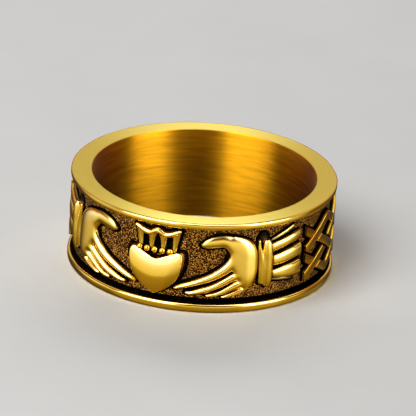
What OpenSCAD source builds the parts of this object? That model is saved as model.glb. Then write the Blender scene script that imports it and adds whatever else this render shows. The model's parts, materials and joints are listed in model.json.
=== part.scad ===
// Claddagh ring: a broad band cast in one piece, with two hands that hold a crowned heart,
// pleated sleeves behind the hands and a four-strand plait round the back.
// Millimetres. The finger goes through along Z, the band rests on its lower rim at z = 0,
// and the heart faces -Y.

/* [Band] */
// Radius of the finger hole
bore_r = 9.45; // [8.5:0.05:12]
// Thickness of the wall between the finger hole and the rims' outer faces
wall = 1.75; // [1.4:0.05:2.4]
// Width of the band along the finger
band_w = 8; // [7:0.1:10]
// Height of the upper rim
upper_rim_h = 0.55; // [0.3:0.05:0.9]
// Height of the lower rim
lower_rim_h = 0.8; // [0.5:0.05:1]
// Rounding of the upper rim's outer edges
upper_rim_round = 0.2; // [0.05:0.01:0.27]
// Rounding of the lower rim's outer edges
lower_rim_round = 0.36; // [0.1:0.01:0.4]
// Depth of the sunk field behind the relief, below the rims
field_depth = 0.5; // [0.3:0.05:0.7]
// Height of the groove between the lower rim and the field
groove_h = 0.4; // [0.2:0.05:0.6]
// Depth of that groove, below the field
groove_depth = 0.15; // [0.05:0.05:0.3]

// How far the flat tops of the relief lie below the rims
relief_drop = 0.05; // [0.02:0.01:0.12]

/* [Heart and crown] */
// Width of the heart
heart_w = 4.7; // [4:0.1:5.2]
// Height of the heart, from its tip to its lobes
heart_h = 3.95; // [3.5:0.05:4.2]
// How far the middle of the heart stands out past the rims
heart_proud = 0.3; // [0:0.05:0.6]
// Radius of the heart's dome
heart_dome_r = 5.2; // [4.5:0.1:9]
// Width of the crown at its points
crown_w = 4.1; // [3.6:0.1:4.6]
// Height of the crown, from its base to its points
crown_h = 1.75; // [1.5:0.05:1.9]
// Radius of a bead between the crown and the heart
bead_r = 0.29; // [0.2:0.01:0.35]
// Number of beads
beads = 5; // [3:1:7]

/* [Hands and sleeves] */
// Angle round the ring from the heart's middle to the index finger's tip
hand_from = 8.5; // [8:0.1:9.5]
// Angle round the ring from the heart's middle to the heel of the hand
hand_to = 44.8; // [43:0.1:45.2]
// Width of the grooves between the fingers
finger_gap = 0.26; // [0.15:0.01:0.35]
// How far the palm stands out past the ends of the hand
palm_crown = 0.3; // [0.1:0.05:0.4]
// Angle round the ring to the middle of the cuff
cuff_at = 50; // [49.5:0.1:50.5]
// Width of the cuff's broad ridge
cuff_w = 0.86; // [0.6:0.02:0.95]
// Angle round the ring to the sleeve's pleats at the cuff
sleeve_from = 54; // [53.5:0.1:55]
// Angle round the ring to the sleeve's open end
sleeve_to = 69.2; // [67:0.1:69.5]

/* [Plait] */
// Angle round the ring from the heart's middle to the plait's first column of crossings
plait_from = 68.8; // [67:0.1:70]
// Angle round the ring at which the straps come out from behind the sleeve
plait_shows = 71.8; // [71:0.1:73]
// Number of columns of crossings from one sleeve to the other, an even number
columns = 20; // [18:2:22]
// Height from one row of crossings to the next
row_h = 1.2; // [1:0.02:1.25]
// Width of a strap
strap_w = 0.74; // [0.5:0.02:0.9]
// Gap between a strap and the one that dives under it
strap_gap = 0.16; // [0.08:0.01:0.25]
// Radius of a strap's turn beside a rim, along its middle
turn_r = 0.9; // [0.5:0.05:1.2]

/* [Hidden] */
gold = "goldenrod";

$fn = 96;
smooth_steps = 3;            // pieces that a curve makes between two of its points
round_steps = 4;             // pieces of a strap's or finger's rounded end
rim_r = bore_r + wall;
field_r = rim_r - field_depth;
relief_r = rim_r - relief_drop;
root_r = (field_r + bore_r) / 2;
relief_low = lower_rim_h + groove_h;
relief_high = band_w - upper_rim_h;
relief_h = relief_high - relief_low;
relief_mid = (relief_high + relief_low) / 2;
overrun = 1;                 // how far a stamp reaches past all that stands out
past_r = rim_r + heart_proud + overrun;

// Columns of the tables of outlines: share of the piece's width or angle, share of its height, half width
U = 0;
V = 1;
HALF = 2;

// Half of the heart's outline, from its tip round the lobe to the cleft: shares of heart_w / 2 and heart_h
HEART_HALF = [[0, 0], [0.24, 0.07], [0.5, 0.17], [0.73, 0.31], [0.91, 0.49], [1, 0.72], [0.93, 0.92],
    [0.72, 1], [0.46, 0.98], [0.2, 0.9], [0, 0.83]];

// Half of the crown's upper outline, from its middle point outwards, as shares of crown_w / 2 and crown_h
CROWN_TOP = [[0, 1], [0.2, 0.92], [0.38, 0.84], [0.62, 0.96], [1, 1]];
CROWN_FOOT = 0.78;           // half width of the crown's foot, as a share of crown_w / 2
// Openings in the crown: the middle one and one side one, as shares of crown_w / 2 and crown_h
CROWN_MIDDLE_GAP = [[-0.15, 0.14], [0.15, 0.14], [0.15, 0.6], [0, 0.72], [-0.15, 0.6]];
CROWN_SIDE_GAP = [[0.36, 0.14], [0.62, 0.14], [0.74, 0.68], [0.42, 0.66]];

// Outline of the right hand, as shares of the angle from hand_from to hand_to and of relief_h: over the
// thumb and the back of the hand, under the little finger, and back between the index finger and the thumb
HAND_BACK = [[0.31, 0.765], [0.33, 0.81], [0.39, 0.85], [0.48, 0.885], [0.58, 0.895], [0.68, 0.885],
    [0.78, 0.855], [0.9, 0.8], [0.97, 0.74], [1, 0.62], [1, 0.42], [0.985, 0.26], [0.93, 0.175],
    [0.84, 0.12], [0.75, 0.065], [0.65, 0.03], [0.575, 0.028]];
HAND_FINGERTIPS = [[0.575, 0.028], [0.5, 0.03], [0.39, 0.025], [0.34, 0.055], [0.27, 0.06], [0.18, 0.04],
    [0.15, 0.075], [0.09, 0.085], [0.02, 0.1], [0, 0.125]];
HAND_INSIDE = [[0, 0.125], [0.07, 0.165], [0.17, 0.21], [0.3, 0.275], [0.42, 0.34], [0.53, 0.42],
    [0.61, 0.49], [0.66, 0.57], [0.665, 0.64], [0.63, 0.7], [0.57, 0.735], [0.48, 0.745], [0.38, 0.73],
    [0.33, 0.735], [0.31, 0.765]];
// Grooves between the fingers, from tip to palm, as the same shares
FINGER_GROOVES = [
    [[0.06, 0.075], [0.2, 0.125], [0.33, 0.175], [0.46, 0.245], [0.6, 0.325], [0.74, 0.375]],
    [[0.27, 0.04], [0.38, 0.07], [0.5, 0.115], [0.63, 0.19], [0.79, 0.26]],
    [[0.44, 0.015], [0.53, 0.045], [0.66, 0.085], [0.76, 0.125], [0.86, 0.15]]];

// Ridges of the cuff: middle lines as shares of cuff_w either side of cuff_at and of relief_h,
// and half widths as shares of cuff_w
CUFF_RIDGES = [
    [[0.0, 0.19, 0.5], [0.02, 0.34, 0.5], [0.02, 0.5, 0.5], [-0.02, 0.68, 0.5], [-0.18, 0.82, 0.38]],
    [[-0.5, 0.2, 0.28], [-0.6, 0.35, 0.22], [-0.78, 0.55, 0.16], [-1.1, 0.8, 0.13]]];

// Pleats of the sleeve: middle lines as shares of the angle from sleeve_from to sleeve_to and of
// relief_h, and half widths as shares of relief_h
SLEEVE_PLEATS = [
    [[-0.12, 0.775, 0.008], [0.35, 0.87, 0.018], [0.8, 0.94, 0.02]],
    [[0.03, 0.665, 0.042], [0.5, 0.73, 0.052], [0.94, 0.79, 0.056]],
    [[0.06, 0.475, 0.07], [0.5, 0.5, 0.088], [0.98, 0.54, 0.105]],
    [[0.06, 0.29, 0.048], [0.5, 0.28, 0.078], [0.93, 0.285, 0.098]],
    [[0.02, 0.2, 0.012], [0.45, 0.165, 0.016], [0.78, 0.14, 0.012]]];

function mm_at(degrees) = degrees * PI / 180 * relief_r;
function mix(a, b, share) = a + (b - a) * share;
function spline(a, b, c, d, t) = 0.5 * (2 * b + (c - a) * t + (2 * a - 5 * b + 4 * c - d) * t * t
    + (3 * b - a - 3 * c + d) * t * t * t);
// A smooth line through the points, open at its ends
function smooth(line) = let (last = len(line) - 1) concat(
    [for (i = [0:last - 1]) for (k = [0:smooth_steps - 1])
        spline(line[max(i - 1, 0)], line[i], line[i + 1], line[min(i + 2, last)], k / smooth_steps)],
    [line[last]]);
function backwards(line) = [for (i = [len(line) - 1:-1:0]) line[i]];
function without_last(line) = [for (i = [0:len(line) - 2]) line[i]];
function flipped(line) = [for (p = backwards(line)) [-p[U], p[V]]];
function scaled(line, w, h) = [for (p = line) [p[U] * w, p[V] * h]];
// Places shares of an angle span and of the relief's height on the unrolled band
function on_band(line, from, to) = [for (p = line)
    concat([mm_at(mix(from, to, p[U])), relief_low + p[V] * relief_h],
        len(p) > 2 ? [p[HALF] * relief_h] : [])];
// Outline of a strap with rounded ends along a line whose third column is its half width
function unit(v) = v / norm(v);
function heading(line, i) = let (next = line[min(i + 1, len(line) - 1)], last = line[max(i - 1, 0)])
    unit([next[U] - last[U], next[V] - last[V]]);
function beside(line, i, side) = let (d = heading(line, i))
    [line[i][U] - side * d[V] * line[i][HALF], line[i][V] + side * d[U] * line[i][HALF]];
function end_round(line, i, way) = let (d = heading(line, i) * way, h = line[i][HALF])
    [for (k = [1:round_steps - 1]) let (a = 180 * k / round_steps, c = cos(a), s = sin(a))
        [line[i][U] + h * (d[V] * c + d[U] * s), line[i][V] + h * (d[V] * s - d[U] * c)]];
function strap_outline(line) = let (last = len(line) - 1) concat(
    [for (i = [0:last]) beside(line, i, -1)],
    end_round(line, last, 1),
    [for (i = [last:-1:0]) beside(line, i, 1)],
    end_round(line, 0, -1));

// Stamps outlines of the unrolled band outwards, square to the band at one place along it
module stamp(at) {
    rotate([0, 0, at / relief_r * 180 / PI])
        rotate([90, 0, 0])
            translate([0, 0, root_r])
                linear_extrude(height = past_r - root_r)
                    children();
}

// An outline of the unrolled band, seen square to the band from one place along it
module seen(line, at) {
    polygon([for (p = line) [relief_r * sin((p[U] - at) / relief_r * 180 / PI), p[V]]]);
}

// A ring that keeps what is stamped between its roots in the band and an outer radius
module shell(outer_r) {
    rotate_extrude()
        translate([root_r, relief_low - groove_h])
            square([outer_r - root_r, relief_h + groove_h]);
}

// The same with a crowned outer face, highest at one height of the band
module crowned_shell(outer_r, crown, at_h, half_h) {
    round_r = (half_h * half_h + crown * crown) / (2 * crown);
    rotate_extrude()
        intersection() {
            translate([root_r, relief_low - groove_h])
                square([past_r - root_r, relief_h + groove_h]);
            translate([outer_r + crown - round_r, at_h])
                circle(r = round_r);
        }
}

module rim_section(low, high, edge) {
    translate([bore_r, low])
        square([rim_r - edge - bore_r, high - low]);
    translate([bore_r, low + edge])
        square([rim_r - bore_r, high - low - 2 * edge]);
    for (z = [low + edge, high - edge])
        translate([rim_r - edge, z])
            circle(r = edge);
}

module band() {
    rotate_extrude() {
        translate([bore_r, 0])
            square([field_r - groove_depth - bore_r, band_w]);
        translate([bore_r, relief_low])
            square([field_r - bore_r, band_w - relief_low]);
        rim_section(0, lower_rim_h, lower_rim_round);
        rim_section(relief_high, band_w, upper_rim_round);
    }
}

module heart() {
    half = smooth(scaled(HEART_HALF, heart_w / 2, heart_h));
    outline = concat(without_last(half), without_last(flipped(half)));
    intersection() {
        rotate([90, 0, 0])
            translate([0, relief_low, root_r])
                linear_extrude(height = past_r - root_r)
                    polygon(outline);
        translate([0, heart_dome_r - rim_r - heart_proud, relief_low + heart_h / 2])
            sphere(r = heart_dome_r);
    }
}

module crown_outline() {
    top = scaled(CROWN_TOP, crown_w / 2, crown_h);
    difference() {
        polygon(concat([[-CROWN_FOOT * crown_w / 2, 0], [CROWN_FOOT * crown_w / 2, 0]],
            without_last(backwards(top)), backwards(flipped(top))));
        polygon(scaled(CROWN_MIDDLE_GAP, crown_w / 2, crown_h));
        polygon(scaled(CROWN_SIDE_GAP, crown_w / 2, crown_h));
        polygon(flipped(scaled(CROWN_SIDE_GAP, crown_w / 2, crown_h)));
    }
}

module crown() {
    beads_z = relief_low + heart_h + bead_r / 2;
    intersection() {
        stamp(0)
            translate([0, beads_z + bead_r / 2])
                crown_outline();
        shell(relief_r);
    }
    pitch = crown_w * CROWN_FOOT / beads;
    for (i = [0:beads - 1])
        rotate([0, 0, (i - (beads - 1) / 2) * pitch / relief_r * 180 / PI])
            translate([0, bead_r / 2 - rim_r, beads_z])
                sphere(r = bead_r);
}

module hand() {
    middle = mm_at((hand_from + hand_to) / 2);
    outline = concat(without_last(smooth(HAND_BACK)), without_last(smooth(HAND_FINGERTIPS)),
        without_last(smooth(HAND_INSIDE)));
    intersection() {
        stamp(middle)
            difference() {
                seen(on_band(outline, hand_from, hand_to), middle);
                for (groove = FINGER_GROOVES)
                    seen(strap_outline([for (p = smooth(on_band(groove, hand_from, hand_to)))
                        [p[U], p[V], finger_gap / 2]]), middle);
            }
        crowned_shell(relief_r - palm_crown / 2, palm_crown, relief_mid, relief_h / 2);
    }
}

module cuff() {
    middle = mm_at(cuff_at);
    intersection() {
        stamp(middle)
            for (ridge = CUFF_RIDGES)
                seen(strap_outline(smooth([for (p = ridge)
                    [middle + p[U] * cuff_w, relief_low + p[V] * relief_h, p[HALF] * cuff_w]])), middle);
        crowned_shell(relief_r - palm_crown / 2, palm_crown, relief_mid, relief_h / 2);
    }
}

module sleeve() {
    middle = mm_at((sleeve_from + sleeve_to) / 2);
    intersection() {
        stamp(middle)
            for (pleat = SLEEVE_PLEATS)
                seen(strap_outline(smooth(on_band(pleat, sleeve_from, sleeve_to))), middle);
        shell(relief_r);
    }
}

// The two corners of a strap that runs towards a crossing and stops beside the strap that lies over it
function tucked_end(crossing, along, over) = let (
        across = [-along[V], along[U]],
        side = [-over[V], over[U]],
        away = side * along > 0 ? side : -side,
        half = strap_w / 2)
    [for (s = [-1, 1]) crossing + across * half * s
        - along * (half + strap_gap + across * away * half * s) / (along * away)];

// Outline of a strap that comes down from one crossing, turns by the lower rim and climbs to another
function turn_outline(column_x, down_from, up_to, rise, way) = let (
        slope = atan(rise[V] / rise[U]),
        down = [rise[U], -rise[V]],
        apex_z = -2 * row_h,
        low = tucked_end(down_from, -down, rise),
        high = tucked_end(up_to, rise, down),
        bend_z = apex_z + turn_r / cos(slope),
        bend = [for (k = [0:round_steps]) -slope + 2 * slope * k / round_steps])
    [for (p = concat(
        [for (a = bend) [(turn_r + strap_w / 2) * sin(a), bend_z - (turn_r + strap_w / 2) * cos(a)]],
        high,
        [for (a = backwards(bend))
            [(turn_r - strap_w / 2) * sin(a), bend_z - (turn_r - strap_w / 2) * cos(a)]],
        low)) [column_x + way * p[U], band_w / 2 + way * p[V]]];

module plait() {
    pitch = mm_at(360 - 2 * plait_from) / columns;
    rise = unit([pitch, row_h]);
    fall = unit([pitch, -row_h]);
    intersection() {
        union()
            for (k = [0:2:columns + 2]) {
                x = mm_at(plait_from) + k * pitch;
                stamp(x) {
                    seen(turn_outline(x, [-pitch, -row_h], [2 * pitch, 0], rise, 1), x);
                    seen(turn_outline(x, [-pitch, -row_h], [2 * pitch, 0], rise, -1), x);
                }
                ends = [tucked_end([pitch, -row_h], fall, rise), tucked_end([-pitch, row_h], -fall, rise)];
                stamp(x)
                    seen([for (end = ends) for (p = end) p + [x, band_w / 2]], x);
            }
        rotate([0, 0, plait_shows - 90])
            rotate_extrude(angle = 360 - 2 * plait_shows)
                translate([root_r, lower_rim_h])
                    square([relief_r - root_r, band_w - lower_rim_h - upper_rim_h]);
    }
}

module ring() {
    color(gold) {
        band();
        heart();
        crown();
        for (side = [0, 1])
            mirror([side, 0, 0]) {
                hand();
                cuff();
                sleeve();
            }
        plait();
    }
}

ring();
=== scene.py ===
"""A claddagh ring in cast, gold-plated steel, dressed round its CAD solid.

The relief is modelled flat, as a jeweller's strip: X runs round the band from the heart's middle, Z along the
finger and -Y outwards, in millimetres. Each form is then bent round the band and brought to metres, where it lies
on the CAD ring. The finger goes through along Z, the ring rests on z = 0 and the heart faces -Y.
"""

from __future__ import annotations

import json
import logging
import math
from dataclasses import dataclass, field
from enum import Enum
from typing import Callable, Iterable, Sequence

import bmesh
import bpy
from mathutils import Matrix, Vector

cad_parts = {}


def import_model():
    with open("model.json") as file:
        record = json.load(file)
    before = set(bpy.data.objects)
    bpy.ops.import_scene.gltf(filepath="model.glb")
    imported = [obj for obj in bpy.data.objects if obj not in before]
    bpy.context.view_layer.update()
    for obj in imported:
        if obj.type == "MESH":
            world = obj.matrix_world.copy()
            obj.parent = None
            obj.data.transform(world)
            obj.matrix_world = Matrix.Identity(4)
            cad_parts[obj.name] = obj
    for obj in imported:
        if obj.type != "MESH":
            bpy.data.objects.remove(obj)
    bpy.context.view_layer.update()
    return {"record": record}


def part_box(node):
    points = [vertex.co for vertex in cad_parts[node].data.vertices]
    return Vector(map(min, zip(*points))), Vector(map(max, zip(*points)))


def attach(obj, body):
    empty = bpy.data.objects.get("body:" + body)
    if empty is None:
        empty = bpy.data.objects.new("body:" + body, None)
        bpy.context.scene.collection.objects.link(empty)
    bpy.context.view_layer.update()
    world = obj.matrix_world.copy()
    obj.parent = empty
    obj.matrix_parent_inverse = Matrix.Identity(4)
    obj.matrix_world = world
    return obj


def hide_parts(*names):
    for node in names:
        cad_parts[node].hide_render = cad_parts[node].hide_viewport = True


MM = 0.001
BODY = "root"
NODE = "ring"
BORE_MOUNT = "finger_bore"
LOG = logging.getLogger("claddagh_ring")

Point = tuple[float, ...]
Object = bpy.types.Object
Material = bpy.types.Material


class Along(Enum):
    """The way that a limb of the relief runs on the flat strip."""

    ROUND = 0
    UP = 2


class Side(Enum):
    """The two mirrored halves of the motif, as seen with the heart in front."""

    RIGHT = 1
    LEFT = -1


@dataclass(frozen=True)
class Slice:
    """A cross section of a limb: its place along the limb, its two edges, and its crest above the ground.

    A limb that runs ROUND has its place in degrees and its edges in millimetres up the band. One that runs UP has
    its place in millimetres and its edges in degrees.
    """

    at: float
    low: float
    high: float
    crest: float

    def grown(self, margin: float, crest: float) -> Slice:
        """Returns the slice in millimetres, with its edges moved apart by margin and another crest."""
        return Slice(self.at, self.low - margin, self.high + margin, crest)


@dataclass(frozen=True)
class Limb:
    """One limb of the relief: the way that it runs, its slices, and its squareness if that isn't its form's."""

    along: Along
    slices: tuple[Slice, ...]
    squareness: float | None = None


@dataclass(frozen=True)
class Strip:
    """The unrolled band: its radii and heights in millimetres, read from the frame."""

    rim_r: float
    bore_r: float
    width: float
    relief_drop: float = 0.05
    field_depth: float = 0.5

    @property
    def relief_r(self) -> float:
        """Radius of the relief's flat tops, where the strip keeps its length when it is bent."""
        return self.rim_r - self.relief_drop

    @property
    def field_r(self) -> float:
        """Radius of the sunk ground behind the relief."""
        return self.rim_r - self.field_depth

    @property
    def ground_y(self) -> float:
        """Place of the ground on the flat strip, whose -Y points outwards."""
        return self.relief_r - self.field_r

    def arc(self, degrees: float) -> float:
        """Returns the length along the strip of an angle round the ring."""
        return math.radians(degrees) * self.relief_r


def deselect_all() -> None:
    """Leaves nothing selected and no object in edit mode."""
    if bpy.context.object and bpy.context.object.mode != "OBJECT":
        bpy.ops.object.mode_set(mode="OBJECT")
    bpy.ops.object.select_all(action="DESELECT")


def select_only(*objects: Object) -> None:
    """Selects the objects and makes the first of them the active one."""
    deselect_all()
    for obj in objects:
        obj.select_set(True)
    bpy.context.view_layer.objects.active = objects[0]


def edit_all(obj: Object) -> None:
    """Opens one object in edit mode with all of it selected."""
    select_only(obj)
    bpy.ops.object.mode_set(mode="EDIT")
    bpy.ops.mesh.select_all(action="SELECT")


def new_piece(name: str) -> Object:
    """Names the primitive that was just added, and returns it."""
    obj = bpy.context.object
    obj.name = name
    obj.data.name = name
    return obj


def place_vertices(obj: Object, place: Callable[[int, Vector], Point]) -> None:
    """Moves each vertex of the object that is open in edit mode.

    Args:
        obj: The object in edit mode.
        place: Gives a vertex's new place from its number and its old place.
    """
    mesh = bmesh.from_edit_mesh(obj.data)
    for vertex in mesh.verts:
        vertex.co = Vector(place(vertex.index, vertex.co))
    bmesh.update_edit_mesh(obj.data)


def apply_modifier(obj: Object, kind: str, **settings: object) -> None:
    """Adds a modifier with its settings to the object and applies it."""
    select_only(obj)
    modifier = obj.modifiers.new(kind.lower(), kind)
    for key, value in settings.items():
        setattr(modifier, key, value)
    bpy.ops.object.modifier_apply(modifier=modifier.name)


def join(name: str, pieces: Sequence[Object]) -> Object:
    """Joins the pieces into one object of that name and returns it."""
    select_only(*pieces)
    if len(pieces) > 1:
        bpy.ops.object.join()
    return new_piece(name)


def copy_of(obj: Object, name: str) -> Object:
    """Returns a copy of the object with a mesh of its own."""
    twin = obj.copy()
    twin.data = obj.data.copy()
    bpy.context.scene.collection.objects.link(twin)
    twin.name = twin.data.name = name
    return twin


def mirrored(obj: Object, name: str) -> Object:
    """Returns a copy of a flat piece on the other side of the heart."""
    twin = copy_of(obj, name)
    edit_all(twin)
    bpy.ops.transform.resize(value=(-1, 1, 1), center_override=(0, 0, 0))
    bpy.ops.mesh.normals_make_consistent(inside=False)
    deselect_all()
    return twin


def spline(a: Point, b: Point, c: Point, d: Point, t: float) -> Point:
    """Returns the point at share t from b to c on the smooth curve through four points."""
    return tuple(
        0.5 * (2 * q + (r - p) * t + (2 * p - 5 * q + 4 * r - s) * t * t + (3 * q - p - 3 * r + s) * t ** 3)
        for p, q, r, s in zip(a, b, c, d)
    )


def smooth_line(points: Sequence[Point], steps: int) -> list[Point]:
    """Returns points on the smooth open curve through the given ones, with that many steps between two of them."""
    last = len(points) - 1
    line = [
        spline(points[max(i - 1, 0)], points[i], points[i + 1], points[min(i + 2, last)], k / steps)
        for i in range(last)
        for k in range(steps)
    ]
    return line + [tuple(points[last])]


@dataclass(frozen=True)
class LimbMaker:
    """Sweeps a limb of the relief: a round or squared bar, extruded slice by slice."""

    strip: Strip
    along: Along = Along.ROUND
    sides: int = 36
    squareness: float = 2.2
    steps: int = 6
    tip_steps: int = 5
    tip: float = 0.12
    swell: float = 0.0

    def in_mm(self, slices: Iterable[Slice]) -> list[Slice]:
        """Returns the slices with all their places in millimetres on the strip."""
        arc = self.strip.arc
        if self.along is Along.ROUND:
            return [Slice(arc(s.at), s.low, s.high, s.crest) for s in slices]
        return [Slice(s.at, arc(s.low), arc(s.high), s.crest) for s in slices]

    def rounded(self, line: list[Slice]) -> list[Slice]:
        """Returns the slices with both ends drawn in to a round tip."""

        def end(slice_: Slice, way: float) -> list[Slice]:
            middle, half = (slice_.low + slice_.high) / 2, (slice_.high - slice_.low) / 2
            turns = [math.pi / 2 * k / self.tip_steps * 0.97 for k in range(1, self.tip_steps + 1)]
            return [
                Slice(
                    slice_.at + way * self.tip * math.sin(a),
                    middle - half * math.cos(a),
                    middle + half * math.cos(a),
                    slice_.crest * math.cos(a) ** 0.7,
                )
                for a in turns
            ]

        return end(line[0], -1)[::-1] + line + end(line[-1], 1)

    def sweep(self, name: str, line: Sequence[Slice]) -> Object:
        """Extrudes the limb through slices that are in millimetres, and returns it."""
        lengthwise = self.along is Along.ROUND
        turn = (0, math.pi / 2, 0) if lengthwise else (0, 0, 0)
        deselect_all()
        bpy.ops.mesh.primitive_circle_add(vertices=self.sides, radius=1, fill_type="NGON", rotation=turn)
        bpy.ops.object.transform_apply(location=True, rotation=True, scale=True)
        obj = new_piece(name)
        edit_all(obj)
        power = 2 / self.squareness
        place_vertices(obj, lambda _, co: tuple(math.copysign(abs(c) ** power, c) for c in co))

        def centre(s: Slice) -> Vector:
            middle = (s.low + s.high) / 2
            ground = self.strip.ground_y
            return Vector((s.at, ground, middle) if lengthwise else (middle, ground, s.at))

        def scale(s: Slice, before: Slice | None) -> Point:
            half = (s.high - s.low) / (before.high - before.low) if before else (s.high - s.low) / 2
            crest = s.crest / before.crest if before else s.crest
            return (1, crest, half) if lengthwise else (half, crest, 1)

        bpy.ops.transform.resize(value=scale(line[0], None), center_override=(0, 0, 0))
        bpy.ops.transform.translate(value=centre(line[0]))
        for before, now in zip(line, line[1:]):
            step = centre(now) - centre(before)
            bpy.ops.mesh.extrude_region_move(TRANSFORM_OT_translate={"value": step})
            bpy.ops.transform.resize(value=scale(now, before), center_override=centre(now))
        bpy.ops.mesh.select_all(action="SELECT")
        bpy.ops.mesh.normals_make_consistent(inside=False)
        deselect_all()
        return obj

    def smooth_slices(self, slices: Sequence[Slice]) -> list[Slice]:
        """Returns more slices, in millimetres, on smooth curves through the given ones."""
        rows = [(s.at, s.low, s.high, s.crest) for s in self.in_mm(slices)]
        return [Slice(*row) for row in smooth_line(rows, self.steps)]

    def limb(self, name: str, slices: Sequence[Slice]) -> Object:
        """Returns a limb of the relief, with round tips."""
        line = [s.grown(self.swell, s.crest) for s in self.smooth_slices(slices)]
        return self.sweep(name, self.rounded(line))

    def bed(self, name: str, slices: Sequence[Slice], margin: float, crest: float) -> Object:
        """Returns a flat plate under a limb, wider than the limb by margin all round."""
        line = [s.grown(margin, crest) for s in self.smooth_slices(slices)]
        plate = LimbMaker(self.strip, self.along, sides=12, squareness=6, tip=self.tip + margin)
        return plate.sweep(name, plate.rounded(line))


@dataclass(frozen=True)
class Caster:
    """Turns modelled limbs into cast metal: fused, softened, bent round the band and brought to metres."""

    strip: Strip
    voxel: float = 0.04
    soften: int = 4

    def fuse(
        self, name: str, limbs: Sequence[Object], voxel: float | None = None, soften: int | None = None
    ) -> Object:
        """Fuses overlapping limbs into one skin and softens it, as wax is before it is cast.

        Args:
            name: The piece's name.
            limbs: Closed limbs on the flat strip.
            voxel: The skin's mesh size in millimetres, if not the usual one.
            soften: How often the skin is smoothed, if not as usual.

        Returns:
            The fused piece, still flat.
        """
        obj = join(name, limbs)
        apply_modifier(obj, "REMESH", mode="VOXEL", voxel_size=voxel or self.voxel, adaptivity=0.0)
        times = self.soften if soften is None else soften
        if times:
            apply_modifier(obj, "SMOOTH", factor=0.5, iterations=times)
        return obj

    def bend(self, obj: Object) -> Object:
        """Bends a flat piece round the band, and scales it from millimetres to metres."""
        xs = [v.co.x for v in obj.data.vertices]
        radius = self.strip.relief_r
        apply_modifier(
            obj, "SIMPLE_DEFORM", deform_method="BEND", deform_axis="Z", angle=(max(xs) - min(xs)) / radius
        )
        edit_all(obj)
        bpy.ops.transform.translate(value=(0, -radius, 0))
        bpy.ops.transform.resize(value=(MM, MM, MM), center_override=(0, 0, 0))
        deselect_all()
        return obj


def srgb(code: str) -> tuple[float, float, float, float]:
    """Returns the linear colour of an sRGB hex code such as d8a828."""
    parts = [int(code[i : i + 2], 16) / 255 for i in (0, 2, 4)]
    linear = [c / 12.92 if c <= 0.04045 else ((c + 0.055) / 1.055) ** 2.4 for c in parts]
    return (linear[0], linear[1], linear[2], 1.0)


class Graph:
    """A node tree, with one way to add a node to it."""

    def __init__(self, tree: bpy.types.NodeTree) -> None:
        """Takes over the tree and empties it."""
        self.tree = tree
        tree.nodes.clear()

    def add(self, kind: str, inputs: dict[str | int, object] | None = None, **settings: object) -> bpy.types.Node:
        """Adds a node.

        Args:
            kind: The node's type, without the words ShaderNode.
            inputs: For each input, its value, or the socket or the node (its first output) to link to it.
            **settings: The node's own properties.

        Returns:
            The node.
        """
        node = self.tree.nodes.new("ShaderNode" + kind)
        for key, value in settings.items():
            setattr(node, key, value)
        for key, value in (inputs or {}).items():
            source = value.outputs[0] if isinstance(value, bpy.types.Node) else value
            if isinstance(source, bpy.types.NodeSocket):
                self.tree.links.new(source, node.inputs[key])
            else:
                node.inputs[key].default_value = source
        return node


def new_material(name: str) -> tuple[Material, Graph]:
    """Returns a new material of that name and its empty graph."""
    material = bpy.data.materials.new(name)
    material.use_nodes = True
    return material, Graph(material.node_tree)


@dataclass(frozen=True)
class PolishedGold:
    """Gold plate over polished steel: a warm mirror, with black oxide left low on the walls of the relief."""

    name: str
    roughness: float
    metal: str = "f7c94c"
    oxide: str = "140a03"
    # Radii between which the polisher's wheel leaves off and the oxide stays
    oxide_from_mm: float = 10.78
    oxide_to_mm: float = 10.98
    blotch_mm: float = 0.6
    wander_mm: float = 0.025
    # Fine waves of hand polishing
    scuff_mm: float = 0.7
    scuff_depth_mm: float = 0.002

    def make(self) -> Material:
        """Builds the material and returns it."""
        material, g = new_material(self.name)
        place = g.add("TexCoord").outputs["Object"]
        flat = g.add("VectorMath", {0: place, 1: (1.0, 1.0, 0.0)}, operation="MULTIPLY")
        radius = g.add("VectorMath", {0: flat}, operation="LENGTH").outputs["Value"]
        blotch = g.add("TexNoise", {"Vector": place, "Scale": 1 / (self.blotch_mm * MM), "Detail": 1.0})
        wander = g.add("MapRange", {0: blotch, 3: -self.wander_mm * MM, 4: self.wander_mm * MM})
        height = g.add("Math", {0: radius, 1: wander}, operation="ADD")
        clean = g.add(
            "MapRange",
            {0: height, 1: self.oxide_from_mm * MM, 2: self.oxide_to_mm * MM},
            interpolation_type="SMOOTHSTEP",
        ).outputs[0]
        colour = g.add("Mix", {0: clean, 6: srgb(self.oxide), 7: srgb(self.metal)}, data_type="RGBA").outputs[2]
        rough = g.add("Mix", {0: clean, 2: 0.45, 3: self.roughness})
        scuff = g.add("TexNoise", {"Vector": place, "Scale": 1 / (self.scuff_mm * MM), "Detail": 2.0})
        bump = g.add("Bump", {"Distance": self.scuff_depth_mm * MM, "Height": scuff})
        shader = g.add(
            "BsdfPrincipled", {"Base Color": colour, "Roughness": rough, "Metallic": 1.0, "Normal": bump}
        )
        g.add("OutputMaterial", {"Surface": shader})
        return material


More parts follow.
